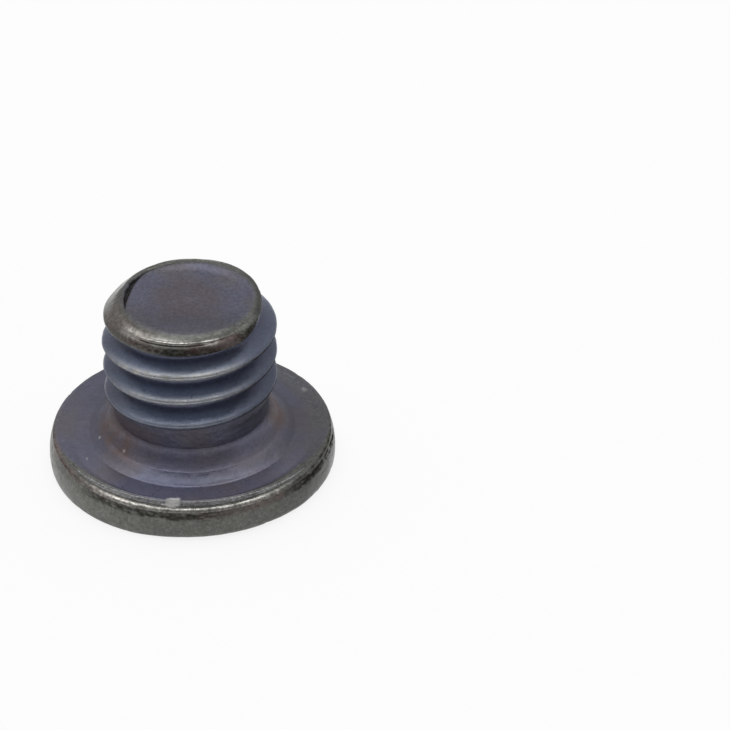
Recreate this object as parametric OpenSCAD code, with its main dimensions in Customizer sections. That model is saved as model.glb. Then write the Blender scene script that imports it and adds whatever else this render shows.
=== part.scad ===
// Low, wide headed machine screw with a coarse metric thread, standing on
// the outer face of its head with the thread pointing up.
// All sizes in millimetres. +Z runs along the thread towards its tip and
// z = 0 is the outer face of the head. The first full crest under the tip
// is set out on the -Y side.

/* [Head] */
// Widest diameter of the round head
head_d = 10.24; // [9.8:0.02:10.8]
// How far the barrel shaped rim swells out past its crisp edge
rim_swell = 0.16; // [0.08:0.02:0.22]
// Height of the crisp edge above the outer face
rim_h = 1.2; // [1:0.05:1.6]
// Height of the widest line of the rim above the outer face
rim_widest_h = 0.36; // [0.32:0.02:0.5]
// Rounding between the outer face and the rim
outer_corner_r = 0.2; // [0.12:0.02:0.28]
// Rounding of the crisp edge on the bearing side
rim_edge_r = 0.09; // [0.06:0.01:0.12]

/* [Bearing side] */
// Depth of the flat bearing face below the top of the rim
bearing_drop = 0.03; // [0.02:0.005:0.05]
// Width of the raised lip at the rim, from the crisp edge inward
lip_w = 0.2; // [0.2:0.02:0.26]
// Width of the slight rise from the bearing face up to the lip
rise_w = 0.43; // [0.3:0.01:0.5]
// Direction of the crescent shaped worn land inside the lip, from +X
land_turn = -90; // [-120:5:-60]
// Width of the worn land at its widest
land_w = 0.36; // [0.2:0.01:0.38]
// Depth of the worn land below the top of the rim
land_drop = 0.07; // [0.05:0.005:0.1]
// Radius of the flatter inner edge of the land
land_inner_r = 5; // [4.9:0.1:5.4]
// Diameter where the bevel round the neck meets the bearing face
bevel_out_d = 7.2; // [7:0.1:7.6]
// Diameter where the bevel meets the flared foot of the neck
bevel_in_d = 6.24; // [6.16:0.02:6.4]
// Height of the bevel above the bearing face
bevel_h = 0.24; // [0.18:0.02:0.3]
// Radius of the hollow flare between the bevel and the neck
flare_r = 1.1; // [0.9:0.05:1.4]

/* [Neck] */
// Diameter of the plain band between the flare and the thread
neck_d = 5.52; // [5.44:0.02:5.58]
// Height of the crisp lower edge of the band above the bearing face
neck_edge_h = 1.01; // [0.95:0.01:1.1]
// Radius of the narrow relief groove under that edge
relief_r = 0.06; // [0.04:0.01:0.08]
// Height of the upper end of the band above the bearing face
band_top_h = 1.51; // [1.47:0.02:1.55]

/* [Thread] */
// Diameter over the thread crests
thread_d = 6; // [5.9:0.02:6.1]
// Distance from one crest to the next
pitch = 1; // [0.95:0.01:1.03]
// Included angle between the flanks
flank_angle = 60; // [57:1:62]
// Width of the flat left on a crest, as a share of the pitch
crest_share = 0.08; // [0.07:0.005:0.12]
// Width of the flat at the root, as a share of the pitch
root_share = 0.26; // [0.22:0.01:0.3]
// Height of the first full crest on the -Y side above the bearing face
first_crest_h = 4.04; // [3.96:0.02:4.1]
// Straight facets in one turn of the groove
turn_facets = 60; // [40:4:80]

/* [Tip] */
// Length from the bearing face to the flat tip
shank_l = 5.43; // [5.3:0.05:5.6]
// Diameter of the flat tip where its chamfer starts
tip_d = 5.02; // [4.9:0.02:5.2]
// Slope of the tip chamfer from the flat
chamfer_angle = 45; // [40:1:50]
// Rounding between the flat tip and its chamfer
tip_edge_r = 0.16; // [0.06:0.02:0.2]
// Direction of the crescent lap on the flat tip, from +X
lap_turn = 165; // [150:5:180]
// Width of the crescent lap at its widest
lap_w = 0.27; // [0.15:0.02:0.33]
// Depth of the crescent lap
lap_depth = 0.14; // [0.08:0.02:0.2]
// Diameter of the outer edge of the lap
lap_d = 4.66; // [4.5:0.04:4.7]
// Radius of the flatter inner edge of the lap
lap_inner_r = 3.4; // [3:0.1:4]

/* [Drive] */
// Width across flats of the six-sided socket in the outer face
socket_af = 3; // [2.5:0.1:3.3]
// Depth of the straight part of the socket
socket_depth = 1.5; // [1.2:0.1:1.7]
// Cone angle at the bottom of the socket
socket_cone_angle = 120; // [110:2:140]
// How far the conical mouth of the socket reaches past its corners
mouth_margin = 0.02; // [0.01:0.01:0.1]

/* [Hidden] */
round_fn = 96;
reach = 0.3;
clear_gap = 0.02;
front_turn = -90;

head_r = head_d / 2;
rim_edge_x = head_r - rim_swell;
neck_r = neck_d / 2;
thread_r = thread_d / 2;
tip_r = tip_d / 2;
bearing_z = rim_h - bearing_drop;
land_z = rim_h - land_drop;
tip_z = bearing_z + shank_l;
neck_edge_z = bearing_z + neck_edge_h;
band_top_z = bearing_z + band_top_h;

// the rings of the bearing side, from the lip inward
lip_in_r = rim_edge_x - lip_w;
land_out_r = lip_in_r - clear_gap;
bearing_out_r = lip_in_r - rise_w;

// barrel arc of the rim: through the crisp edge, upright at the widest line
rim_rise = rim_h - rim_widest_h;
barrel_r = (rim_rise * rim_rise + rim_swell * rim_swell) / (2 * rim_swell);
barrel_x = head_r - barrel_r;

// centre of a small rounding that touches the barrel arc and a level face
function corner_x(r, z) = barrel_x + sqrt(pow(barrel_r - r, 2) - pow(z - rim_widest_h, 2));
function corner_turn(x, z) = atan2(z - rim_widest_h, x - barrel_x);

// centre of the flare arc from the top of the bevel to the relief groove
flare_a = [bevel_in_d / 2, bearing_z + bevel_h];
flare_b = [neck_r - relief_r, neck_edge_z - relief_r];
flare_chord = norm(flare_b - flare_a);
flare_mid = (flare_a + flare_b) / 2;
flare_side = [flare_b[1] - flare_a[1], flare_a[0] - flare_b[0]] / flare_chord;
flare_c = flare_mid + flare_side * sqrt(flare_r * flare_r - flare_chord * flare_chord / 4);

// groove section: half width at a radius, floor radii of the deep and the shallow run
flank_tan = tan(flank_angle / 2);
groove_half = pitch * (1 - crest_share) / 2;
root_half = pitch * root_share / 2;
root_r = thread_r - (groove_half - root_half) / flank_tan;
root_round = 0.05;
shallow_r = neck_r + clear_gap;
air_r = thread_r + clear_gap;
wide_r = air_r + clear_gap;
section_n = 7;
function half_at(r) = groove_half - (thread_r - r) * flank_tan;

// path of the groove, in turns down from its centre just above the first crest:
// it sinks in at the tip, runs deep, turns shallow over the neck and rises out
sink_start = -0.6;
sink_end = -0.3;
fade_start = 2.3;
fade_end = 2.7;
rise_start = 3.5;
rise_end = 3.65;
groove_z0 = bearing_z + first_crest_h + pitch / 2;
groove_steps = round(turn_facets * (rise_end - sink_start));
function ease(t) = let(c = min(max(t, 0), 1)) c * c * (3 - 2 * c);
function between(t, start, end) = ease((t - start) / (end - start));
function fade(t) = between(t, fade_start, fade_end);
function lift(t) = max(between(t, sink_end, sink_start), between(t, rise_start, rise_end));
function floor_r(t) = let(run_r = root_r + (shallow_r - root_r) * fade(t)) run_r + (air_r - run_r) * lift(t);
function floor_dip(t) = root_round * (1 - fade(t)) * (1 - lift(t));
function groove_section(t) = let(
        f = floor_r(t),
        h = half_at(f),
        wide = half_at(wide_r),
        out = thread_r + reach
    ) [[out, -wide], [wide_r, -wide], [f, -h], [f - floor_dip(t), 0], [f, h], [wide_r, wide], [out, wide]];
groove_points = [
    for (i = [0 : groove_steps]) let(t = sink_start + i / turn_facets, a = front_turn - 360 * t)
        for (p = groove_section(t))
            [p[0] * cos(a), p[0] * sin(a), groove_z0 - pitch * t + p[1]]
];
groove_faces = concat(
    [for (i = [0 : groove_steps - 1], k = [0 : section_n - 1]) let(
            a = i * section_n + k,
            b = i * section_n + (k + 1) % section_n,
            c = a + section_n,
            d = b + section_n
        ) each [[a, b, d], [a, d, c]]],
    [[for (k = [section_n - 1 : -1 : 0]) k]],
    [[for (k = [0 : section_n - 1]) groove_steps * section_n + k]]
);

// what a rounding of radius r leaves off, between the barrel arc and a level face
module rim_corner(r, z, level) {
    x = corner_x(r, z);
    turn = corner_turn(x, z);
    out = 2 * r;
    difference() {
        polygon([[x, z], [x + out * cos(turn), z + out * sin(turn)], [x + out, level], [x, level]]);
        translate([x, z]) circle(r, $fn = round_fn);
    }
}

module head_profile() {
    difference() {
        intersection() {
            square([head_r, rim_h]);
            translate([barrel_x, rim_widest_h]) circle(barrel_r, $fn = round_fn);
        }
        rim_corner(rim_edge_r, rim_h - rim_edge_r, rim_h + rim_edge_r);
        rim_corner(outer_corner_r, outer_corner_r, -outer_corner_r);
        polygon([[-reach, bearing_z], [bearing_out_r, bearing_z], [lip_in_r, rim_h],
            [lip_in_r, rim_h + reach], [-reach, rim_h + reach]]);
    }
}

// sector of the flare circle between the top of the bevel and the relief groove
module flare_sector() {
    intersection() {
        translate(flare_c) circle(flare_r, $fn = round_fn);
        polygon([flare_c, 2 * flare_b - flare_c, 2 * flare_a - flare_c]);
    }
}

module neck_profile() {
    difference() {
        polygon([[0, rim_h / 2], [bevel_out_d / 2, rim_h / 2], [bevel_out_d / 2, bearing_z], flare_a,
            flare_b, [neck_r, flare_b[1]], [neck_r, band_top_z], [0, band_top_z]]);
        flare_sector();
        translate([neck_r, neck_edge_z - relief_r]) circle(relief_r, $fn = round_fn);
    }
}

module shank_profile() {
    fall = thread_r - neck_r;
    chamfer_h = (thread_r - tip_r) * tan(chamfer_angle);
    edge_x = tip_r - tip_edge_r * tan(chamfer_angle / 2);
    edge_z = tip_z - tip_edge_r;
    out = 2 * tip_edge_r;
    difference() {
        polygon([[0, band_top_z], [neck_r, band_top_z], [thread_r, band_top_z + fall],
            [thread_r, tip_z - chamfer_h], [tip_r, tip_z], [0, tip_z]]);
        difference() {
            polygon([[edge_x, edge_z], [edge_x + out * sin(chamfer_angle), edge_z + out * cos(chamfer_angle)],
                [edge_x + out, tip_z + tip_edge_r], [edge_x, tip_z + tip_edge_r]]);
            translate([edge_x, edge_z]) circle(tip_edge_r, $fn = round_fn);
        }
    }
}

module blank() {
    rotate_extrude($fn = round_fn) union() {
        head_profile();
        neck_profile();
        shank_profile();
    }
}

module thread_groove() {
    polyhedron(points = groove_points, faces = groove_faces, convexity = 12);
}

module drive_socket() {
    flats_r = socket_af / 2;
    corner_r = flats_r / cos(30);
    mouth_r = corner_r + mouth_margin;
    cone_r = flats_r - clear_gap;
    cone_h = cone_r / tan(socket_cone_angle / 2);
    translate([0, 0, -reach]) cylinder(h = socket_depth + reach, r = corner_r, $fn = 6);
    translate([0, 0, -reach]) cylinder(h = mouth_r + reach, r1 = mouth_r + reach, r2 = 0, $fn = round_fn);
    rotate_extrude($fn = round_fn)
        polygon([[0, socket_depth / 2], [cone_r, socket_depth / 2], [cone_r, socket_depth],
            [0, socket_depth + cone_h]]);
}

// upright crescent, widest towards +X
module crescent(outer_r, width, inner_r, h) {
    difference() {
        cylinder(h = h, r = outer_r, $fn = round_fn);
        translate([outer_r - width - inner_r, 0, -reach])
            cylinder(h = h + 2 * reach, r = inner_r, $fn = round_fn);
    }
}

module tip_lap() {
    translate([0, 0, tip_z - lap_depth]) rotate([0, 0, lap_turn])
        crescent(lap_d / 2, lap_w, lap_inner_r, lap_depth + reach);
}

module worn_land() {
    translate([0, 0, land_z]) rotate([0, 0, land_turn])
        crescent(land_out_r, land_w, land_inner_r, land_drop + reach);
}

module screw() {
    color([0.36, 0.36, 0.42]) difference() {
        blank();
        thread_groove();
        drive_socket();
        tip_lap();
        worn_land();
    }
}

screw();
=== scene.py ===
import math

import bpy
import numpy as np
from mathutils import Matrix, Vector

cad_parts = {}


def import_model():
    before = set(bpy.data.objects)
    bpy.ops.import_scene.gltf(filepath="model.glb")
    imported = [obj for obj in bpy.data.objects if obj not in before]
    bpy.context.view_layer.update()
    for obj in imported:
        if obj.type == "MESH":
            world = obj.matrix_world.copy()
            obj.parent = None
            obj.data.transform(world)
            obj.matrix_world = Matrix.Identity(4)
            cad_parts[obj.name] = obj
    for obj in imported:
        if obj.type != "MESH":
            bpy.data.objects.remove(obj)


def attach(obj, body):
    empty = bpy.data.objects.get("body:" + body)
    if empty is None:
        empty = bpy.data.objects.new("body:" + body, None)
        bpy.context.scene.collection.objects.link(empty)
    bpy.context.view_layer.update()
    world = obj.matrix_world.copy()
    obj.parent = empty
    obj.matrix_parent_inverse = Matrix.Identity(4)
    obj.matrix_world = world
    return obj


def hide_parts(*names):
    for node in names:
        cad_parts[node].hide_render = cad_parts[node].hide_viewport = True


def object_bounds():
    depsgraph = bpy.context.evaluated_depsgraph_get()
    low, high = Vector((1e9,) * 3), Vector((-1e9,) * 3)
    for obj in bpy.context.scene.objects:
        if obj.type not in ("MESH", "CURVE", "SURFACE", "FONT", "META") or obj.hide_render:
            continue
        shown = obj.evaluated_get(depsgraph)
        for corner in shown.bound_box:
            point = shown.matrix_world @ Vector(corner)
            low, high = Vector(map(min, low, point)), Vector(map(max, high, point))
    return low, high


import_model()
cad_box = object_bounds()

MM = 0.001
STEPS = 246

# Overall sizes, mm, from the frame
HEAD_R = round(cad_box[1][0] / MM, 2)
TIP_Z = round(cad_box[1][2] / MM, 2)

# Head and neck, mm
WIDEST_Z = 0.36
RIM_Z = 1.2
RIM_EDGE_R = 4.96
TOP_EDGE_R = 0.07
TOP_EDGE_WORN = 0.07
LOW_EDGE_R = 0.2
LIP_R = 4.76
LAND_OUT_R = 4.74
LAND_W = 0.36
LAND_INNER_R = 5.0
LAND_Z = 1.13
BEARING_Z = 1.17
BEARING_R = 4.33
BEVEL_Z = 1.41
BEVEL_OUT_R = 3.6
BEVEL_IN_R = 3.12
BEVEL_ROUND = 0.12
FLARE_R = 1.1
RELIEF_R = 0.06
BAND_EDGE_Z = 2.18
BAND_TOP_Z = 2.68
NECK_R = 2.76

# Thread, mm; turns are counted down the groove from where it passes above the first crest at the front
THREAD_R = 3.045
PITCH = 1.0
FIRST_CREST_Z = 5.235
GROOVE_Z = FIRST_CREST_Z + PITCH / 2
GROOVE_HALF = 0.43
FLANK_TAN = math.tan(math.radians(30))
CREST_ROUND = 0.09
CREST_CROWN = 0.3
ROOT_ROUND = 0.1
ROOT_R = 2.43
SHALLOW_R = 2.762
BAND_ROUND = 0.06
RUN_IN_TURN = -0.3
SHALLOW_TURN = 2.3
RUN_OUT_TURN = 3.5
WIDER_START = 0.34
SLIMMER_LEFT = 0.1

# Tip, mm
TIP_R = 2.51
CHAMFER_SUM = TIP_Z + TIP_R
DISC_Z = 6.53
DISC_R = 2.12
DISC_WAVE = 0.006
TIP_OUT_R = 3.0
EDGE_ROUND = 0.2
RIGHT_LIP = 0.07
LEFT_LIP = 0.045
FRONT_DROP = 0.05
FOLD_OFFSET = 3.72
FOLD_RISE = 0.035

# Socket, mm
SOCKET_AF = 3.0
SOCKET_DEPTH = 1.5
SOCKET_MOUTH_R = 1.752
SOCKET_FLAT_R = SOCKET_AF / 2 - 0.02
SOCKET_FLOOR_Z = SOCKET_DEPTH + 0.012

# Wear, mm
PIT_DEPTH = 0.05
BITE_DEPTH = 0.07
DENT_DEPTH = 0.02
GRAIN_RISE = 0.012

# Angles round the axis, degrees: 0 is the right as the camera sees it
FRONT_DEG = -90
FOLD_DEG = -100
LAP_DEG = 165
LAP_MIDDLE_DEG = 173

DEG = np.arange(STEPS) * 360 / STEPS
ONES = np.ones(STEPS)


# Helpers
def ease(t):
    """Smooth step from 0 to 1."""
    t = np.clip(t, 0, 1)
    return t * t * (3 - 2 * t)


def smin(a, b, k):
    """Rounded minimum of a and b."""
    h = np.clip(0.5 + 0.5 * (b - a) / k, 0, 1)
    return b + (a - b) * h - k * h * (1 - h)


def smax(a, b, k):
    """Rounded maximum of a and b."""
    return -smin(-a, -b, k)


def hump(x, centre, width):
    """Bell shape, 1 at its centre."""
    return np.exp(-(((x - centre) / width) ** 2))


def turn_gap(deg, centre):
    """Signed angle from centre, in degrees."""
    return (deg - centre + 180) % 360 - 180


def sector(deg, start, end, soft):
    """1 between two angles given in rising order, fading over soft degrees."""
    middle = (start + end) / 2
    half = (end - start) / 2
    return ease((half - np.abs(turn_gap(deg, middle))) / soft + 0.5)


def wobble(deg, seed, low, high, size):
    """Smooth irregular value round the axis."""
    rng = np.random.default_rng(seed)
    total = np.zeros_like(deg, dtype=float)
    for k in range(low, high + 1):
        total += rng.normal() * np.sin(np.radians(deg) * k + rng.uniform(0, 2 * math.pi))
    return size * total / math.sqrt(high - low + 1)


def lattice(ix, iy, iz, seed):
    """Fixed pseudo-random value from 0 to 1 at whole-number points."""
    n = ix * 374761393 + iy * 668265263 + iz * 2147483647 + seed * 1274126177
    n = (n ^ (n >> 13)) * 1274126177 & 0xFFFFFFFF
    n = (n ^ (n >> 16)) & 0xFFFFFF
    return n / 0xFFFFFF


def noise(points, scale, seed):
    """Smooth value noise from -1 to 1 with scale cells per millimetre."""
    p = points * scale + 1000.0
    base = np.floor(p).astype(np.int64)
    f = p - base
    f = f * f * (3 - 2 * f)
    total = 0
    for cx in (0, 1):
        for cy in (0, 1):
            for cz in (0, 1):
                weight = np.where(cx, f[..., 0], 1 - f[..., 0])
                weight = weight * np.where(cy, f[..., 1], 1 - f[..., 1])
                weight = weight * np.where(cz, f[..., 2], 1 - f[..., 2])
                corner = base + np.array([cx, cy, cz])
                total = total + weight * lattice(corner[..., 0], corner[..., 1], corner[..., 2], seed)
    return total * 2 - 1


def arc(cx, cz, r, start, end, n):
    """Points on an arc, without its last one."""
    a = np.radians(np.linspace(start, end, n, endpoint=False))
    return [(cx + r * math.cos(t), cz + r * math.sin(t)) for t in a]


def line(a, b, n):
    """Points on a line, without its last one."""
    return [(a[0] + (b[0] - a[0]) * i / n, a[1] + (b[1] - a[1]) * i / n) for i in range(n)]


# The thread
def groove_turn(deg, z):
    """Turns down the helix to the groove nearest a height."""
    start = (FRONT_DEG - deg) / 360
    return start + np.round((GROOVE_Z - z) / PITCH - start)


def groove_away(deg, z, turn):
    """Height from the groove's middle; its first turn is wider at the right."""
    wider = WIDER_START * sector(deg, -32, 60, 40) * (turn < 0)
    above = z - (GROOVE_Z - PITCH * turn)
    return np.where(above > 0, np.maximum(above - wider, 0), -above)


def groove_floor(turn):
    """Radius of the groove's root, which sinks in, turns shallow and runs out."""
    shallow = ease((turn - SHALLOW_TURN) / 0.4)
    gone = ease((turn - RUN_OUT_TURN) / 0.15) + ease((RUN_IN_TURN - turn) / 0.3)
    floor = ROOT_R + (SHALLOW_R - ROOT_R) * shallow
    return floor + (THREAD_R + 0.1 - floor) * np.clip(gone, 0, 1)


def thread_radius(deg, z):
    """Radius of the threaded shank at an angle and a height."""
    turn = groove_turn(deg, z)
    past = groove_away(deg, z, turn) - GROOVE_HALF
    crest = THREAD_R - SLIMMER_LEFT * sector(deg, 120, 250, 60) * ease((z - 5.45) / 0.4)
    top = np.minimum(crest + CREST_CROWN * np.maximum(past, 0), THREAD_R)
    flank = crest + past / FLANK_TAN
    r = smax(smin(top, flank, CREST_ROUND), groove_floor(turn), ROOT_ROUND)
    r = smin(np.minimum(r, crest), NECK_R + (z - BAND_TOP_Z), BAND_ROUND)
    return np.where(z < BAND_TOP_Z + 0.1, np.maximum(r, NECK_R), r)


# Tip face
def gap_inner(deg):
    """Radius of the disc's edge at the lap."""
    side = np.abs(turn_gap(deg, LAP_MIDDLE_DEG))
    return 2.06 + 0.27 * ease(side / 50) + wobble(deg, 11, 5, 14, 0.012)


def gap_outer(deg):
    """Radius of the ring's inner edge at the lap."""
    side = turn_gap(deg, LAP_DEG)
    width = np.interp(side, [-70, -40, -24, -6, 10, 28, 40], [0.03, 0.045, 0.07, 0.19, 0.18, 0.06, 0.03])
    return gap_inner(deg) + width * (1 + wobble(deg, 12, 12, 32, 0.22))


def gap_depth(deg):
    """Depth of the gap between the disc and the ring."""
    side = turn_gap(deg, LAP_DEG)
    return np.interp(side, [-75, -60, -28, -8, 10, 24, 38], [0, 0.03, 0.05, 0.12, 0.14, 0.1, 0])


def tip_top(r, deg, gi, go):
    """Height of the tip face before its edge is rounded."""
    right = sector(deg, -15, 118, 40)
    front = sector(deg, -150, -30, 50)
    left = sector(deg, 128, 235, 30)
    z = DISC_Z + DISC_WAVE * np.sin(r * 2.1 + np.radians(deg))
    z = z + RIGHT_LIP * right * ease((r - 1.88) / 0.42)
    z = z + LEFT_LIP * left * ease((r - go) / 0.05)
    z = z - FRONT_DROP * front * ease((r - 2.05) / 0.4) ** 2
    inside = ease((r - gi) / 0.03) * ease((go - r) / 0.03)
    return z - gap_depth(deg) * inside


def tip_surface(r, deg, gi, go):
    """Height of the tip face and its chamfer, whose edge is softer at the left."""
    total = CHAMFER_SUM - 0.11 * sector(deg, 128, 245, 40) + wobble(deg, 21, 2, 9, 0.012)
    total = total + 0.09 * sector(deg, 38, 150, 24) - 0.06 * sector(deg, -25, 26, 16)
    soft = EDGE_ROUND - 0.13 * sector(deg, 15, 165, 30) + 0.1 * sector(deg, 170, 245, 30)
    soft = soft + 0.14 * sector(deg, -150, -100, 30) + wobble(deg, 22, 2, 6, 0.015)
    return smin(tip_top(r, deg, gi, go), total - r, soft)


def tip_rows():
    """Rows from the centre of the tip out over its chamfer: (radii, heights)."""
    gi = gap_inner(DEG)
    go = gap_outer(DEG)
    middle = 1.5
    ring = DISC_R + 0.12
    keys = [0.0, middle, DISC_R, ring, 2.75, TIP_OUT_R]
    counts = [15, 16, 10, 26, 10]
    marks = [np.linspace(a, b, n, endpoint=False) for a, b, n in zip(keys, keys[1:], counts)]
    rows = []
    for m in np.concatenate(marks)[1:]:
        r = m + (gi - DISC_R) * np.clip((m - middle) / (DISC_R - middle), 0, 1)
        if m > DISC_R:
            r = gi + (go - gi) * min((m - DISC_R) / (ring - DISC_R), 1)
        if m > ring:
            r = go + (TIP_OUT_R - go) * (m - ring) / (TIP_OUT_R - ring)
        rows.append((r, tip_surface(r, DEG, gi, go)))
    return rows


def fold_slant(r, z, deg):
    """Distance down the chamfer from the line of the fold."""
    return r - z + FOLD_OFFSET + 0.0016 * turn_gap(deg, FOLD_DEG) + wobble(deg, 31, 6, 18, 0.01)


def crease(r, z, deg):
    """The fold under the front of the tip's edge: a raised lip over a small step."""
    along = sector(deg, -128, -72, 16)
    slant = fold_slant(r, z, deg)
    lip = FOLD_RISE * hump(slant, -0.075, 0.075) * sector(deg, -135, -50, 25)
    step = ease((slant - 0.02) / 0.04) * ease((0.8 - slant) / 0.3)
    return lip - FOLD_RISE * along * (step + hump(slant, 0.06, 0.03))


# Neck and head
def bevel_rows():
    """The bevel round the neck, a little fuller towards its outer edge."""
    width = BEVEL_OUT_R - BEVEL_IN_R
    fall = BEVEL_Z - BEARING_Z
    rows = []
    for u in np.linspace(0, 1.1, 20, endpoint=False):
        z = BEVEL_Z - fall * (0.68 * u + 0.32 * u * u)
        rows.append((BEVEL_IN_R + width * u, float(smax(z, BEARING_Z, BEVEL_ROUND))))
    return rows


def flare_rows():
    """The hollow arc from the relief groove out to the bevel."""
    low = np.array([BEVEL_IN_R, BEVEL_Z])
    high = np.array([NECK_R - RELIEF_R, BAND_EDGE_Z - RELIEF_R])
    chord = np.linalg.norm(high - low)
    side = np.array([high[1] - low[1], low[0] - high[0]]) / chord
    centre = (low + high) / 2 + side * math.sqrt(FLARE_R**2 - chord**2 / 4)
    start = math.degrees(math.atan2(high[1] - centre[1], high[0] - centre[0]))
    end = math.degrees(math.atan2(low[1] - centre[1], low[0] - centre[0]))
    start -= 360 * (start > 0)
    end -= 360 * (end > 0)
    return arc(centre[0], centre[1], FLARE_R, start, end, 22)


def neck_profile():
    """The plain turned part from the band's top to the flat bearing ring."""
    rows = line((NECK_R, BAND_TOP_Z), (NECK_R, BAND_EDGE_Z + 0.04), 12)
    rows += line((NECK_R, BAND_EDGE_Z + 0.04), (NECK_R - 0.006, BAND_EDGE_Z), 4)
    rows += arc(NECK_R, BAND_EDGE_Z - RELIEF_R, RELIEF_R, 92, 180, 7)
    rows += flare_rows()
    rows += bevel_rows()
    rows += line((BEVEL_OUT_R + 0.05, BEARING_Z), (BEARING_R, BEARING_Z), 10)
    return rows


def arc_rows(cx, cz, r, start, end, n):
    """Rows along an arc that differs round the axis, without its last one."""
    rows = []
    for share in np.linspace(0, 1, n, endpoint=False):
        a = np.radians(start + (end - start) * share)
        rows.append((cx + r * np.cos(a), cz + r * np.sin(a)))
    return rows


def face_rows(start, end, z, n):
    """Rows across a flat face, without the last one."""
    return [(start + (end - start) * share, z * ONES) for share in np.linspace(0, 1, n, endpoint=False)]


def rim_rows():
    """The barrel shaped rim, worn rounder at the front, and the flat outer face."""
    rise = RIM_Z - WIDEST_Z
    swell = HEAD_R - RIM_EDGE_R
    barrel = (rise**2 + swell**2) / (2 * swell)
    barrel_x = HEAD_R - barrel
    top_r = TOP_EDGE_R + TOP_EDGE_WORN * sector(DEG, -150, -30, 50)
    low_r = LOW_EDGE_R - 0.1 * sector(DEG, -158, -106, 24) + 0.08 * sector(DEG, -98, -45, 24)
    top_z = RIM_Z - top_r
    top_x = barrel_x + np.sqrt((barrel - top_r) ** 2 - (top_z - WIDEST_Z) ** 2)
    top_turn = np.degrees(np.arctan2(top_z - WIDEST_Z, top_x - barrel_x))
    low_x = barrel_x + np.sqrt((barrel - low_r) ** 2 - (low_r - WIDEST_Z) ** 2)
    low_turn = np.degrees(np.arctan2(low_r - WIDEST_Z, low_x - barrel_x))
    rows = face_rows(LIP_R, top_x, RIM_Z, 4)
    rows += arc_rows(top_x, top_z, top_r, 90, top_turn, 9)
    rows += arc_rows(barrel_x, WIDEST_Z, barrel, top_turn, low_turn, 26)
    rows += arc_rows(low_x, low_r, low_r, low_turn, -90, 9)
    rows += face_rows(low_x, SOCKET_MOUTH_R + 0.05, 0, 8)
    rows += face_rows((SOCKET_MOUTH_R + 0.05) * ONES, SOCKET_MOUTH_R, 0, 2)
    return rows


def land_edge(deg):
    """Radius of the inner edge of the worn land at the front of the head."""
    shift = LAND_INNER_R - LAND_OUT_R + LAND_W
    turn = np.radians(deg - FRONT_DEG)
    return np.sqrt(LAND_INNER_R**2 - (shift * np.sin(turn)) ** 2) - shift * np.cos(turn)


def land_level(r, z):
    """Sink the crescent of the worn land into the bearing side."""
    inside = ease((r - land_edge(DEG)) / 0.06) * ease((LAND_OUT_R + 0.02 - r) / 0.05)
    return z - (z - LAND_Z) * inside


def hexagon():
    """Radius of the socket's six-sided wall round the axis."""
    return SOCKET_AF / 2 / np.cos(np.radians(DEG % 60 - 30))


def cone_z(r):
    """Height of the conical end of the socket."""
    return SOCKET_FLOOR_Z + (SOCKET_FLAT_R - r) / math.tan(math.radians(60))


def socket_rows():
    """The hexagon socket with its countersunk mouth and conical end."""
    wall = hexagon()
    rows = []
    for z in np.linspace(0, 0.25, 9):
        rows.append((np.maximum(wall, SOCKET_MOUTH_R - z), z * ONES))
    for z in np.linspace(0.35, SOCKET_DEPTH - 0.05, 8):
        rows.append((wall, z * ONES))
    rows.append((wall, SOCKET_DEPTH * ONES))
    rows.append((wall - 0.04, (SOCKET_DEPTH + 0.01) * ONES))
    rows.append((SOCKET_FLAT_R * ONES, SOCKET_FLOOR_Z * ONES))
    for share in np.linspace(0.96, 0.06, 8):
        r = SOCKET_FLAT_R * share
        rows.append((r * ONES, cone_z(r) * ONES))
    return rows


def folded_tip_rows():
    """The tip's rows with the fold, kept inside the thread."""
    rows = []
    for r, z in tip_rows():
        lean = 0.7 * crease(r, z, DEG)
        low = np.minimum(z + lean, TIP_Z)
        rows.append((np.minimum(r + lean, thread_radius(DEG, low)), low))
    return rows


def all_rows():
    """Radii and heights of every row, from the tip's centre to the socket's end."""
    rows = folded_tip_rows()
    last = rows[-1][1]
    for share in np.linspace(0, 1, 138, endpoint=False)[1:]:
        z = last + (BAND_TOP_Z - last) * share
        rows.append((thread_radius(DEG, z), z))
    rows += [(r * ONES, z * ONES) for r, z in neck_profile()]
    for r, z in line((BEARING_R, BEARING_Z), (LIP_R, RIM_Z), 24):
        rows.append((r * ONES, land_level(r, z)))
    rows += rim_rows()
    rows += socket_rows()
    return np.array([r for r, _ in rows]), np.array([z for _, z in rows])


# Finish, painted highlights, sheen and shade, as masks from 0 to 1; their places are in mm and in degrees
# round the axis
class Surface:
    """Points of the screw with what their finish depends on."""

    def __init__(self, points, normals, r, deg):
        self.points = points
        self.up = normals[..., 2]
        self.r = r
        self.z = points[..., 2]
        self.deg = deg
        self.broad = noise(points, 1.3, 1)
        self.middle = noise(points, 5.0, 2)
        self.fine = noise(points, 14.0, 3)
        self.slant = fold_slant(r, self.z, deg)
        self.facing = sector(deg, -140, -60, 50)
        runout = ease((2.88 - r) / 0.06) * ease((3.2 - self.z) / 0.2)
        above_band = ease((self.z - 2.75) / 0.1 - 3 * runout)
        self.thread = above_band * ease((6.15 - self.z) / 0.08)

    def sector(self, start, end, soft):
        return sector(self.deg, start, end, soft)


def crest_wear_and_highlight(s):
    """Bright upper edge of the crests, partly worn metal and partly painted highlight, strongest at the
    front and on the higher ones.
    """
    crest = s.thread * ease((s.r - 2.92) / 0.08) * ease((s.up + 0.05) / 0.15)
    # Partly painted highlight: the rub is kept to the front of the crests.
    rubbed = ease(0.5 + 0.4 * s.middle + 0.3 * s.fine) * s.sector(-142, -52, 40)
    return crest * rubbed * (0.2 + 0.8 * ease((s.z - 3.2) / 2))


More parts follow.
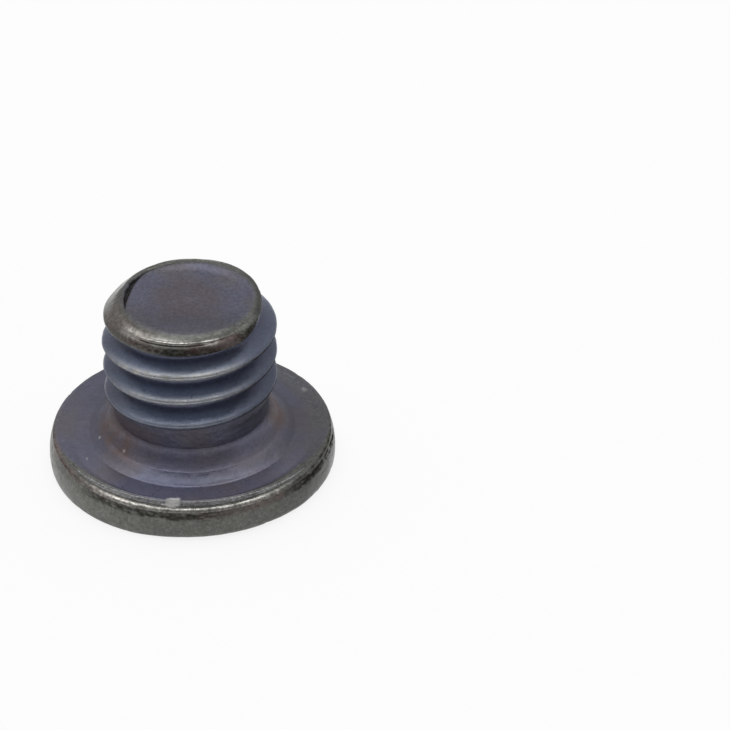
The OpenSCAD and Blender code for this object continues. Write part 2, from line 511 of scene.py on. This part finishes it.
def rim_wear_and_highlight(s):
    """Bright upper edge of the rim, mostly at the front, partly worn metal and partly painted highlight.
    """
    edge = ease((s.r - 4.8) / 0.06) * ease((s.z - 1.07) / 0.05)
    return edge * ease(0.8 + 0.5 * s.middle + 0.5 * s.fine) * (0.08 + 0.92 * s.sector(-128, -52, 30))


def tip_edge_highlight(s):
    """Painted highlight: bright stretches of the tip's edge at the front and the back."""
    corner = s.r + s.z - CHAMFER_SUM
    broader = ease(-turn_gap(s.deg, -92) / 20)
    # Painted highlight across the front of the edge, and a painted glint at its right end.
    span = np.maximum(s.sector(-142, -83, 14), 0.9 * s.sector(-76, -64, 6))
    span = span * (1 - ease((s.slant - 0.015) / 0.03) * s.sector(-128, -72, 16))
    front = hump(corner, -0.03, 0.15) * hump(s.r, 2.63 - 0.12 * broader, 0.1 + 0.12 * broader)
    back = hump(corner, 0.06, 0.07) * s.sector(68, 108, 14) * ease(0.6 + s.fine)
    return np.maximum(front * span, 0.7 * back * ease((s.z - 6.5) / 0.03))


def root_mask(s):
    """Dark blue roots of the thread and the relief groove."""
    relief = hump(s.z, BAND_EDGE_Z - 0.035, 0.03) * hump(s.r, 2.83, 0.06)
    return np.maximum(s.thread * ease((2.72 - s.r) / 0.25), relief)


def flank_mask(s):
    """Slate blue flanks, fading at the lower left."""
    low_left = s.sector(-182, -132, 30) * ease((3.7 - s.z) / 0.5)
    return s.thread * (1 - root_mask(s)) * (1 - 0.6 * low_left)


def sky_mask(s):
    """Painted blue sheen of the flanks and the bevel, strongest at the front."""
    flanks = s.thread * ease((s.r - 2.45) / 0.3) * (0.08 + 0.92 * s.facing)
    bevel = hump(s.r, 3.46, 0.13) * ease((1.5 - s.z) / 0.05) * s.sector(-120, -30, 50)
    return np.maximum(flanks, 0.24 * bevel)


def glow_mask(s):
    """Painted pale sheen close to the crests, strongest at the front and on the higher ones."""
    near_crest = s.thread * ease((s.r - 2.8) / 0.2)
    return near_crest * (0.08 + 0.92 * s.facing) * (0.15 + 0.85 * ease((s.z - 3.2) / 2))


def green_mask(s):
    """Olive oxide of the rim and the tip's ring, and part of the bearing side."""
    tint_edge = 4.9 - 0.5 * s.sector(-155, -15, 50) + 0.06 * s.broad
    rim = ease((1.24 - s.z) / 0.02) * ease((s.r - tint_edge) / 0.14)
    ring = ease((s.z - 5.9) / 0.2) * ease((s.r - 2.18) / 0.25)
    tip_front = ease((s.z - 6.3) / 0.1) * ease((s.r - 1.9) / 0.6) * s.sector(-170, -20, 60)
    right = ease((1.3 - s.z) / 0.05) * ease((s.r - 4.0) / 0.4) * s.sector(-10, 62, 30)
    return np.clip(rim + ring + 0.7 * tip_front + 0.5 * right, 0, 1)


def neck_brown(s):
    """Brown on the flare at both sides and on the left of the band."""
    flare = ease((3.45 - s.r) / 0.3) * ease((2.3 - s.z) / 0.3) * ease((s.r - 2.5) / 0.3)
    sides = np.maximum(s.sector(150, 232, 30), s.sector(-12, 45, 30))
    band = ease((2.75 - s.z) / 0.1) * ease((s.z - 2.05) / 0.05) * ease((2.95 - s.r) / 0.05)
    return flare * sides + 0.7 * band * s.sector(190, 245, 30)


def rim_brown(s):
    """Brown smears on the rim, left and right of the front."""
    left = hump(s.r, 4.92, 0.12) * ease((s.z - 0.95) / 0.2) * s.sector(-172, -112, 25)
    right = ease((s.r - 4.93) / 0.05) * ease((s.z - 0.75) / 0.2) * s.sector(-82, -42, 20)
    return 0.8 * left + 0.6 * right


def tip_brown(s):
    """Brown on the tip's ring, left and right of the front."""
    above_foot = ease((s.z - 6.06) / 0.06)
    low = ease((s.slant + 0.1) / 0.1) * ease((0.52 - s.slant) / 0.1)
    right = above_foot * low * s.sector(-86, -46, 14)
    left = above_foot * ease((s.r - 2.25) / 0.1) * s.sector(-178, -112, 30)
    return 0.9 * right + 0.5 * left


def brown_mask(s):
    """Brown tarnish."""
    brown = neck_brown(s) + rim_brown(s) + tip_brown(s)
    return np.clip(brown, 0, 1) * ease(0.8 + 0.3 * s.broad)


def thread_under_shade(s):
    """Painted shade: dark faces that look down between the crests, mostly at the sides, and the crests'
    lower edge.
    """
    down = ease((0.25 - s.up) / 0.3) * ease((s.z - 2.5) / 0.2) * ease((6.0 - s.z) / 0.1)
    crest = s.thread * ease((s.r - 2.92) / 0.08)
    low_edge = 0.7 * s.facing * (1 - ease((s.up + 0.05) / 0.15))
    low_edge = low_edge + (1 - s.facing) * (1 - ease((s.up - 0.2) / 0.2))
    return np.maximum(down * (0.6 - 0.57 * s.facing), crest * low_edge)


def rim_soot(s):
    """Ragged black marks below the rim's upper edge and lines along it."""
    along = 0.2 + 0.75 * s.sector(-132, -72, 20) + 0.8 * s.sector(-46, 8, 20)
    along = along + 0.4 * s.sector(-188, -145, 20)
    ragged = ease(0.8 + 1.1 * s.fine + 0.3 * s.sector(-42, 8, 20))
    marks = ease((s.z - 0.8 - 0.05 * s.middle) / 0.08) * ease((1.13 - s.z) / 0.05)
    marks = marks * ease((s.r - 4.9) / 0.06) * along * ragged
    edge = hump(s.r, 4.95, 0.06) * ease((s.z - 1.0) / 0.08)
    left = s.sector(-182, -122, 20) * ease(0.75 + 0.8 * s.fine)
    right = s.sector(-42, 12, 20) * ease(0.9 + 1.1 * s.middle)
    return np.maximum(marks, edge * np.maximum(0.95 * left, right))


def ring_soot_and_fold_shade(s):
    """Painted shade in the fold, and black soot in spots on the foot of the tip's ring and at its right.
    """
    ragged = 0.8 + 2.0 * s.fine + 1.0 * s.middle
    # Painted shade: a dark line in the fold under the tip's edge.
    fold = hump(s.slant, 0.065, 0.055) * s.sector(-124, -76, 16) * ease(0.95 + 1.2 * s.fine)
    spots = ease((s.slant - 0.16) / 0.1 + 0.6 * s.fine) * s.sector(-138, -62, 14) * ease(ragged)
    right = ease((s.slant + 0.02) / 0.12 + 0.4 * s.fine) * s.sector(-54, -6, 16) * ease(ragged + 0.3)
    return np.maximum(fold, np.maximum(spots, right)) * ease((s.z - 6.08) / 0.05)


def lap_gap_shade(s):
    """Painted shade in the gap of the lap."""
    past_disc = ease((s.r - gap_inner(s.deg) + 0.02) / 0.03)
    before_ring = ease((gap_outer(s.deg) + 0.02 - s.r) / 0.03)
    return past_disc * before_ring * ease((s.z - 6.3) / 0.05) * ease(gap_depth(s.deg) / 0.1)


def bare_mask(s):
    """Rubbed metal of the worn land."""
    edge = land_edge(s.deg)
    inside = ease((s.r - edge) / 0.05) * ease((LIP_R - s.r) / 0.03) * ease((s.z - 1.1) / 0.02)
    return inside * ease((LIP_R - edge) / 0.2)


def head_shade(s):
    """Painted light and shade on regions of the head, 1 for no change."""
    low = ease((2.25 - s.z) / 0.1)
    flare = low * ease((4.42 - s.r) / 0.1) * ease((s.r - 2.7) / 0.05)
    face = low * ease((s.r - 3.3) / 0.3) * ease((s.z - 1.05) / 0.1)
    side = ease((s.r - 4.93) / 0.04) * ease((1.15 - s.z) / 0.1)
    shade = 1 + (0.55 - 0.5 * hump(s.r, 3.35, 0.22)) * flare * s.sector(-138, -25, 60)
    shade = shade * (1 - 0.24 * face * s.sector(-35, 165, 50)) * (1 - 0.08 * face * s.sector(-52, 30, 40))
    shade = shade * (1 - 0.36 * side * s.sector(-46, 40, 26)) * (1 + 0.12 * side * s.sector(-106, -60, 20))
    return shade * (1 + 0.28 * side * s.sector(-145, -104, 25))


def thread_shade(s):
    """Painted shade on the right side of the band and the thread, 1 for no change."""
    band = ease((2.85 - s.z) / 0.1) * ease((s.z - 2.05) / 0.1) * ease((2.95 - s.r) / 0.05)
    thread = ease((s.z - 2.9) / 0.2) * ease((6.1 - s.z) / 0.1) * ease((s.r - 2.5) / 0.2)
    return (1 - 0.38 * band * s.sector(-55, 60, 30)) * (1 - 0.14 * thread * s.sector(-52, 30, 40))


def tip_shade(s):
    """Painted light and shade on regions of the tip, 1 for no change."""
    disc = ease((s.z - 6.4) / 0.05) * ease((2.5 - s.r) / 0.1)
    ring = ease((s.z - 6.1) / 0.05) * ease((s.r - 2.3) / 0.15)
    foot = ring * ease((s.slant - 0.12) / 0.2)
    shade = 1 - 0.3 * disc * hump(s.points[..., 1], -1.5, 0.7)
    shade = shade * (1 + 0.4 * ring * s.sector(-170, -112, 30))
    shade = shade * (1 - 0.4 * foot * s.sector(-150, -56, 24))
    return shade * (1 - 0.2 * ring * s.sector(-42, 40, 24)) * (1 - 0.32 * ring * s.sector(-18, 40, 20))


# Radius and angle, size and strength of each grain
GRAINS = [
    (4.52, -94.6, 0.3, 0.9),
    (3.373, -162.2, 0.035, 0.9),
    (3.03, -137.6, 0.025, 0.9),
    (4.11, -149.5, 0.03, 0.7),
    (4.587, 31.4, 0.1, 0.4),
]
CREST_GLINT_DEG = -87.3
CREST_GLINT_Z = 3.945
MM_PER_DEG = 0.052


def dust_and_glint_mask(s):
    """Pale dust grains on the head's bearing side, and a painted glint on a crest."""
    total = np.zeros(s.r.shape)
    ragged = 1 + 0.35 * noise(s.points, 8.0, 7)
    bearing_side = ease((s.z - 1.08) / 0.04) * ease((2.0 - s.z) / 0.1)
    for radius, angle, size, amount in GRAINS:
        a = math.radians(angle)
        away = np.hypot(s.points[..., 0] - radius * math.cos(a), s.points[..., 1] - radius * math.sin(a))
        total = np.maximum(total, amount * ease((size * ragged - away) / 0.05 + 0.5))
    # Painted glint: a pale spot on the second crest at the front.
    away = np.hypot(turn_gap(s.deg, CREST_GLINT_DEG) * MM_PER_DEG, s.z - CREST_GLINT_Z)
    return np.maximum(total * bearing_side, ease((0.035 - away) / 0.04 + 0.5))


def largest(*parts):
    """The largest of several masks, kept from 0 to 1."""
    total = parts[0]
    for part in parts[1:]:
        total = np.maximum(total, part)
    return np.clip(total, 0, 1)


def masks(s):
    """Where each kind of finish, painted highlight and painted shade lies; shade is halved to fit between
    0 and 1.
    """
    return {
        "wear_and_highlight": largest(crest_wear_and_highlight(s), rim_wear_and_highlight(s), tip_edge_highlight(s)),
        "root": root_mask(s),
        "flank": flank_mask(s),
        "green": green_mask(s),
        "brown": brown_mask(s),
        "soot_and_shade": largest(rim_soot(s), thread_under_shade(s), ring_soot_and_fold_shade(s), lap_gap_shade(s)),
        "bare": bare_mask(s),
        "core": ease((s.z - 6.4) / 0.05) * ease((1.7 + 0.3 * s.broad - s.r) / 0.9),
        "sky": sky_mask(s),
        "glow": glow_mask(s),
        "tip": ease((s.z - 6.08) / 0.05),
        "shade": head_shade(s) * thread_shade(s) * tip_shade(s) / 2,
        "dust_and_glint": dust_and_glint_mask(s),
    }


# Mesh
def row_normals(points):
    """Outward normals of the grid of points."""
    down = np.gradient(points, axis=0)
    along = np.roll(points, -1, axis=1) - np.roll(points, 1, axis=1)
    n = np.cross(down, along)
    return n / np.maximum(np.linalg.norm(n, axis=-1, keepdims=True), 1e-12)


def relief(s, m):
    """How far the real surface stands off its smooth form, mm."""
    outside = np.clip(ease((s.r - 1.8) / 0.1) + ease((s.z - 3) / 0.1), 0, 1)
    move = outside * (0.006 * noise(s.points, 3.0, 4) + 0.004 * noise(s.points, 8.0, 5))
    pits = np.maximum(noise(s.points, 6.0, 6) - 0.45, 0)
    move = move - PIT_DEPTH * pits * ease((1.22 - s.z) / 0.03) * ease((s.r - 4.5) / 0.2)
    bites = np.maximum(noise(s.points, 4.0, 8) - 0.25, 0)
    move = move - BITE_DEPTH * bites * m["wear_and_highlight"] * ease((s.z - 2.6) / 0.1) * ease((6.1 - s.z) / 0.1)
    dents = np.maximum(noise(s.points, 3.0, 9), 0)
    move = move - DENT_DEPTH * dents * m["wear_and_highlight"] * ease((1.3 - s.z) / 0.1)
    return move + GRAIN_RISE * m["dust_and_glint"]


def build_points():
    """The grid of points in mm and the masks on it, inside the head's outline."""
    r, z = all_rows()
    deg = np.broadcast_to(DEG, r.shape)
    theta = np.radians(deg)
    smooth = np.stack([r * np.cos(theta), r * np.sin(theta), z], axis=-1)
    normals = row_normals(smooth)
    surface = Surface(smooth, normals, r, deg)
    m = masks(surface)
    points = smooth + normals * relief(surface, m)[..., None]
    radius = np.hypot(points[..., 0], points[..., 1])
    inward = np.minimum(1, HEAD_R / np.maximum(radius, 1e-6))
    points[..., :2] *= inward[..., None]
    points[..., 2] = np.clip(points[..., 2], 0, TIP_Z)
    return points, m


def grid_faces(rows):
    """Quads between the rows, with a fan of triangles at each end."""
    j = np.arange(STEPS)
    k = (j + 1) % STEPS
    i = np.arange(rows - 1)[:, None] * STEPS + 1
    quads = np.stack([i + j, i + STEPS + j, i + STEPS + k, i + k], axis=-1).reshape(-1, 4)
    last_row = 1 + (rows - 1) * STEPS
    top = np.stack([np.zeros(STEPS, int), 1 + j, 1 + k], axis=-1)
    bottom = np.stack([np.full(STEPS, last_row + STEPS), last_row + k, last_row + j], axis=-1)
    return [tuple(f) for part in (top, quads, bottom) for f in part.tolist()]


def add_masks(mesh, m):
    """Store the masks on the mesh for the material."""
    for name, values in m.items():
        flat = np.concatenate([[values[0].mean()], values.ravel(), [values[-1].mean()]])
        layer = mesh.attributes.new(name, "FLOAT", "POINT")
        layer.data.foreach_set("value", np.clip(flat, 0, 1).astype(np.float32))


def screw_mesh():
    """One closed mesh of the whole screw."""
    points, m = build_points()
    top = points[0].mean(axis=0)
    bottom = points[-1].mean(axis=0)
    bottom[2] = cone_z(0)
    verts = np.vstack([top[None], points.reshape(-1, 3), bottom[None]]) * MM
    mesh = bpy.data.meshes.new("screw")
    mesh.from_pydata(verts.tolist(), [], grid_faces(len(points)))
    mesh.polygons.foreach_set("use_smooth", [True] * len(mesh.polygons))
    add_masks(mesh, m)
    mesh.update()
    return mesh


# Material
class Nodes:
    """Short ways to add and link shader nodes."""

    def __init__(self, name):
        self.material = bpy.data.materials.new(name)
        self.material.use_nodes = True
        self.tree = self.material.node_tree
        self.tree.nodes.clear()
        self.output = self.add("ShaderNodeOutputMaterial")
        self.shader = self.add("ShaderNodeBsdfPrincipled")
        self.link(self.shader.outputs[0], self.output.inputs["Surface"])

    def add(self, kind):
        return self.tree.nodes.new(kind)

    def link(self, a, b):
        self.tree.links.new(a, b)

    def put(self, value, socket):
        """Set a socket to a number or a colour, or link it."""
        if isinstance(value, (int, float, tuple)):
            socket.default_value = value
        else:
            self.link(value, socket)

    def coordinates(self):
        """Object coordinates in mm."""
        place = self.add("ShaderNodeTexCoord")
        change = self.add("ShaderNodeMapping")
        change.inputs["Scale"].default_value = (1 / MM, 1 / MM, 1 / MM)
        self.link(place.outputs["Object"], change.inputs["Vector"])
        return change.outputs[0]

    def noise(self, vector, scale, detail, roughness=0.5):
        n = self.add("ShaderNodeTexNoise")
        self.link(vector, n.inputs["Vector"])
        n.inputs["Scale"].default_value = scale
        n.inputs["Detail"].default_value = detail
        n.inputs["Roughness"].default_value = roughness
        return n.outputs["Fac"]

    def ramp(self, value, low, high, to_low=0.0, to_high=1.0):
        """Smooth step of a value from low to high."""
        n = self.add("ShaderNodeMapRange")
        n.interpolation_type = "SMOOTHSTEP"
        self.link(value, n.inputs["Value"])
        n.inputs["From Min"].default_value = low
        n.inputs["From Max"].default_value = high
        n.inputs["To Min"].default_value = to_low
        n.inputs["To Max"].default_value = to_high
        return n.outputs["Result"]

    def math(self, kind, a, b):
        n = self.add("ShaderNodeMath")
        n.operation = kind
        self.put(a, n.inputs[0])
        self.put(b, n.inputs[1])
        return n.outputs[0]

    def product(self, a, b):
        return self.math("MULTIPLY", a, b)

    def mix(self, factor, a, b, blend="MIX"):
        """Colour b over colour a by a factor."""
        n = self.add("ShaderNodeMix")
        n.data_type = "RGBA"
        n.blend_type = blend
        self.put(factor, n.inputs["Factor"])
        self.put(a, n.inputs["A"])
        self.put(b, n.inputs["B"])
        return n.outputs["Result"]

    def times(self, colour, value, amount=1.0):
        """A colour multiplied by a value, as far as the amount says."""
        return self.mix(amount, colour, value, "MULTIPLY")

    def mask(self, name):
        n = self.add("ShaderNodeAttribute")
        n.attribute_name = name
        return n.outputs["Fac"]

    def bump(self, height, strength, distance, before=None):
        n = self.add("ShaderNodeBump")
        n.inputs["Strength"].default_value = strength
        n.inputs["Distance"].default_value = distance
        self.link(height, n.inputs["Height"])
        if before is not None:
            self.link(before, n.inputs["Normal"])
        return n.outputs[0]


VIOLET = (0.104, 0.106, 0.158, 1)
WARM = (0.112, 0.103, 0.128, 1)
COPPER = (0.098, 0.082, 0.1, 1)
SLATE = (0.1, 0.12, 0.185, 1)
NAVY = (0.09, 0.1, 0.16, 1)
# The next two colours are painted sheen: blue, then pale.
SKY = (0.19, 0.225, 0.32, 1)
PALE = (0.42, 0.44, 0.48, 1)
OLIVE = (0.135, 0.14, 0.126, 1)
DEEP_OLIVE = (0.09, 0.092, 0.08, 1)
# Black of soot, also used for painted shade.
SOOT_AND_SHADE = (0.03, 0.026, 0.022, 1)
BARE = (0.3, 0.3, 0.305, 1)
RUST = (0.122, 0.082, 0.078, 1)
# Bright metal of worn edges, also used for painted highlights.
STEEL_AND_HIGHLIGHT = (0.56, 0.54, 0.5, 1)
# Pale dust, also used for a painted glint.
DUST_AND_GLINT = (0.5, 0.49, 0.48, 1)


def oxide_colour(s, broad, middle):
    """The oxide film: violet, bluer in the thread, olive where rubbed, with a painted blue sheen and a
    painted pale sheen near the crests.
    """
    colour = s.mix(s.ramp(broad, 0.42, 0.66), VIOLET, WARM)
    colour = s.mix(s.product(s.mask("core"), s.ramp(middle, 0.35, 0.6, 0.4, 1.0)), colour, COPPER)
    colour = s.mix(s.product(s.mask("flank"), 0.85), colour, SLATE)
    colour = s.mix(s.mask("root"), colour, NAVY)
    colour = s.mix(s.product(s.mask("sky"), 0.85), colour, SKY)
    colour = s.mix(s.product(s.mask("glow"), 0.9), colour, PALE)
    olive = s.mix(s.ramp(middle, 0.42, 0.66), OLIVE, DEEP_OLIVE)
    return s.mix(s.mask("green"), colour, olive)


def worn_colour(s, colour, middle, fine, bright):
    """The rubbed land, soot and painted shade, brown tarnish, bright edges of worn metal and painted
    highlight, and dust with a painted glint over the oxide.
    """
    colour = s.mix(s.product(s.mask("bare"), s.ramp(fine, 0.25, 0.7, 0.4, 1.0)), colour, BARE)
    colour = s.mix(s.product(s.mask("soot_and_shade"), s.ramp(fine, 0.2, 0.7, 1.0, 0.7)), colour, SOOT_AND_SHADE)
    colour = s.mix(s.product(s.mask("brown"), s.ramp(middle, 0.3, 0.62, 0.5, 0.95)), colour, RUST)
    colour = s.times(colour, s.ramp(fine, 0.25, 0.75, 0.87, 1.12))
    colour = s.mix(bright, colour, STEEL_AND_HIGHLIGHT)
    return s.mix(s.mask("dust_and_glint"), colour, DUST_AND_GLINT)


def mottled_colour(s, colour, middle, fine):
    """Mottling of the tip and the rim, and the painted light and shade of each region."""
    colour = s.times(colour, s.ramp(fine, 0.3, 0.7, 0.76, 0.99), s.mask("tip"))
    off_tip = s.math("SUBTRACT", 1.0, s.product(s.mask("tip"), 0.8))
    scaly = s.product(s.mask("green"), s.product(off_tip, 0.8))
    colour = s.times(colour, s.ramp(middle, 0.35, 0.65, 0.72, 1.25), scaly)
    colour = s.times(colour, s.ramp(fine, 0.32, 0.68, 0.75, 1.2), scaly)
    return s.times(colour, s.product(s.mask("shade"), 2.0))


def oxide_roughness(s, middle):
    """Satin oxide, smoother on the tip's ring and dull under dust."""
    rough = s.ramp(middle, 0.3, 0.7, 0.27, 0.38)
    rough = s.math("SUBTRACT", rough, s.product(s.product(s.mask("tip"), s.mask("green")), 0.07))
    rough = s.math("SUBTRACT", rough, s.product(s.mask("green"), 0.03))
    return s.math("ADD", rough, s.product(s.mask("dust_and_glint"), 0.4))


def oxide_material():
    """Blackened steel: violet-blue oxide, olive where rubbed, bright on the edges, with painted
    highlights, sheen and shade.
    """
    s = Nodes("oxide")
    mm = s.coordinates()
    broad = s.noise(mm, 0.55, 2.0)
    middle = s.noise(mm, 2.2, 4.0, 0.6)
    fine = s.noise(mm, 9.0, 4.0, 0.65)
    grain = s.noise(mm, 26.0, 2.0, 0.6)
    # Worn metal and painted highlight on the crests, the rim and the tip's edge.
    bright = s.product(s.mask("wear_and_highlight"), s.ramp(fine, 0.3, 0.6, 0.4, 1.0))
    colour = oxide_colour(s, broad, middle)
    colour = worn_colour(s, colour, middle, fine, bright)
    s.link(mottled_colour(s, colour, middle, fine), s.shader.inputs["Base Color"])
    # Soot and painted shade also take the shine away.
    clean_and_unshaded = s.math("SUBTRACT", 1.0, s.mask("soot_and_shade"))
    s.link(s.product(clean_and_unshaded, 0.5), s.shader.inputs["Specular IOR Level"])
    metal = s.product(clean_and_unshaded, s.math("ADD", 0.4, s.product(bright, 0.55)))
    s.link(s.math("SUBTRACT", metal, s.mask("dust_and_glint")), s.shader.inputs["Metallic"])
    s.link(oxide_roughness(s, middle), s.shader.inputs["Roughness"])
    normal = s.bump(grain, 0.25, 0.008 * MM, s.bump(fine, 0.35, 0.02 * MM))
    s.link(normal, s.shader.inputs["Normal"])
    return s.material


# Camera, fitted to the photo; pixels are the photo's
FOCAL_PX = 2233.2
FRAME_PX = 730
SENSOR_MM = 36
CAMERA_MM = 80.0
ELEVATION = math.radians(34.081)
ROLL = math.radians(1.089)
RIM_CENTRE_PX = (192.54, 424.92)


def camera():
    """The camera looks along +Y and down, with the middle of the rim at its pixel."""
    ahead = Vector((0, math.cos(ELEVATION), -math.sin(ELEVATION)))
    right = Vector((1, 0, 0))
    up = Vector((0, math.sin(ELEVATION), math.cos(ELEVATION)))
    right_r = right * math.cos(ROLL) + up * math.sin(ROLL)
    up_r = up * math.cos(ROLL) - right * math.sin(ROLL)
    across = (RIM_CENTRE_PX[0] - FRAME_PX / 2) / FOCAL_PX * CAMERA_MM
    above = -(RIM_CENTRE_PX[1] - FRAME_PX / 2) / FOCAL_PX * CAMERA_MM
    place = Vector((0, 0, RIM_Z)) - right_r * across - up_r * above - ahead * CAMERA_MM
    data = bpy.data.cameras.new("camera")
    data.sensor_width = SENSOR_MM
    data.lens = SENSOR_MM * FOCAL_PX / FRAME_PX
    data.clip_start = 0.002
    data.clip_end = 20
    cam = bpy.data.objects.new("camera", data)
    turn = Matrix((right_r, up_r, -ahead)).transposed().to_4x4()
    cam.matrix_world = Matrix.Translation(place * MM) @ turn
    bpy.context.scene.collection.objects.link(cam)
    bpy.context.scene.camera = cam


# Light and floor, in metres
FLOOR_HALF = 1.5
FLOOR_GAP = 0.01 * MM
FLOOR_LIFT = 0.85
LAMP_PLACE = Vector((-0.03, 0.11, 0.5))
LAMP_SIZE = 0.58
LAMP_WATTS = 1.05
SKY_STOPS = [(0.0, 0.4), (0.5, 0.5), (0.8, 0.9), (1.0, 1.0)]
DIM_SIDE = 0.3


def floor_material():
    """Pale paper, lifted towards white where it is seen or mirrored."""
    s = Nodes("floor")
    s.shader.inputs["Base Color"].default_value = (0.95, 0.95, 0.95, 1)
    s.shader.inputs["Roughness"].default_value = 0.9
    path = s.add("ShaderNodeLightPath")
    seen = s.math("ADD", path.outputs["Is Camera Ray"], path.outputs["Is Glossy Ray"])
    seen = s.math("ADD", seen, path.outputs["Is Transmission Ray"])
    glow = s.add("ShaderNodeEmission")
    glow.inputs["Strength"].default_value = 1.0
    mix = s.add("ShaderNodeMixShader")
    s.link(s.product(seen, FLOOR_LIFT), mix.inputs[0])
    s.link(s.shader.outputs[0], mix.inputs[1])
    s.link(glow.outputs[0], mix.inputs[2])
    s.link(mix.outputs[0], s.output.inputs["Surface"])
    return s.material


def floor():
    """A plain floor just clear of the head's outer face."""
    mesh = bpy.data.meshes.new("floor")
    h = FLOOR_HALF
    mesh.from_pydata([(-h, -h, 0), (h, -h, 0), (h, h, 0), (-h, h, 0)], [], [(0, 1, 2, 3)])
    mesh.materials.append(floor_material())
    obj = bpy.data.objects.new("floor", mesh)
    obj.location.z = -FLOOR_GAP
    bpy.context.scene.collection.objects.link(obj)


def lamp():
    """One broad soft lamp overhead, aimed at the screw."""
    data = bpy.data.lights.new("overhead", "AREA")
    data.shape = "DISK"
    data.size = LAMP_SIZE
    data.energy = LAMP_WATTS
    obj = bpy.data.objects.new("overhead", data)
    obj.location = LAMP_PLACE
    obj.rotation_euler = (-LAMP_PLACE).to_track_quat("-Z", "Y").to_euler()
    bpy.context.scene.collection.objects.link(obj)


def sky_by_height(tree, height):
    """Grey that brightens from the ground to overhead."""
    ramp = tree.nodes.new("ShaderNodeValToRGB")
    tree.links.new(height, ramp.inputs["Fac"])
    while len(ramp.color_ramp.elements) < len(SKY_STOPS):
        ramp.color_ramp.elements.new(0.5)
    for element, (place_at, value) in zip(ramp.color_ramp.elements, SKY_STOPS):
        element.position = place_at
        element.color = (value, value, value, 1)
    return ramp.outputs["Color"]


def dim_behind(tree, depth):
    """Smooth step down to the dim side of the room."""
    side = tree.nodes.new("ShaderNodeMapRange")
    side.interpolation_type = "SMOOTHSTEP"
    side.inputs["From Min"].default_value = -0.6
    side.inputs["From Max"].default_value = -0.15
    side.inputs["To Min"].default_value = DIM_SIDE
    tree.links.new(depth, side.inputs["Value"])
    return side.outputs["Result"]


def world():
    """Plain sky, brightest overhead, with the dim side of the room behind the camera."""
    w = bpy.data.worlds.new("world")
    bpy.context.scene.world = w
    w.use_nodes = True
    tree = w.node_tree
    tree.nodes.clear()
    out = tree.nodes.new("ShaderNodeOutputWorld")
    back = tree.nodes.new("ShaderNodeBackground")
    place = tree.nodes.new("ShaderNodeTexCoord")
    split = tree.nodes.new("ShaderNodeSeparateXYZ")
    dim = tree.nodes.new("ShaderNodeMix")
    dim.data_type = "RGBA"
    dim.blend_type = "MULTIPLY"
    dim.inputs["Factor"].default_value = 1.0
    tree.links.new(place.outputs["Generated"], split.inputs[0])
    tree.links.new(sky_by_height(tree, split.outputs["Z"]), dim.inputs["A"])
    tree.links.new(dim_behind(tree, split.outputs["Y"]), dim.inputs["B"])
    tree.links.new(dim.outputs["Result"], back.inputs["Color"])
    tree.links.new(back.outputs[0], out.inputs["Surface"])


# The scene
screw = bpy.data.objects.new("screw_detailed", screw_mesh())
bpy.context.scene.collection.objects.link(screw)
screw.data.materials.append(oxide_material())
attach(screw, "root")
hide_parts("screw")

camera()
floor()
lamp()
world()
bpy.context.scene.view_settings.view_transform = "Standard"

bpy.context.view_layer.update()
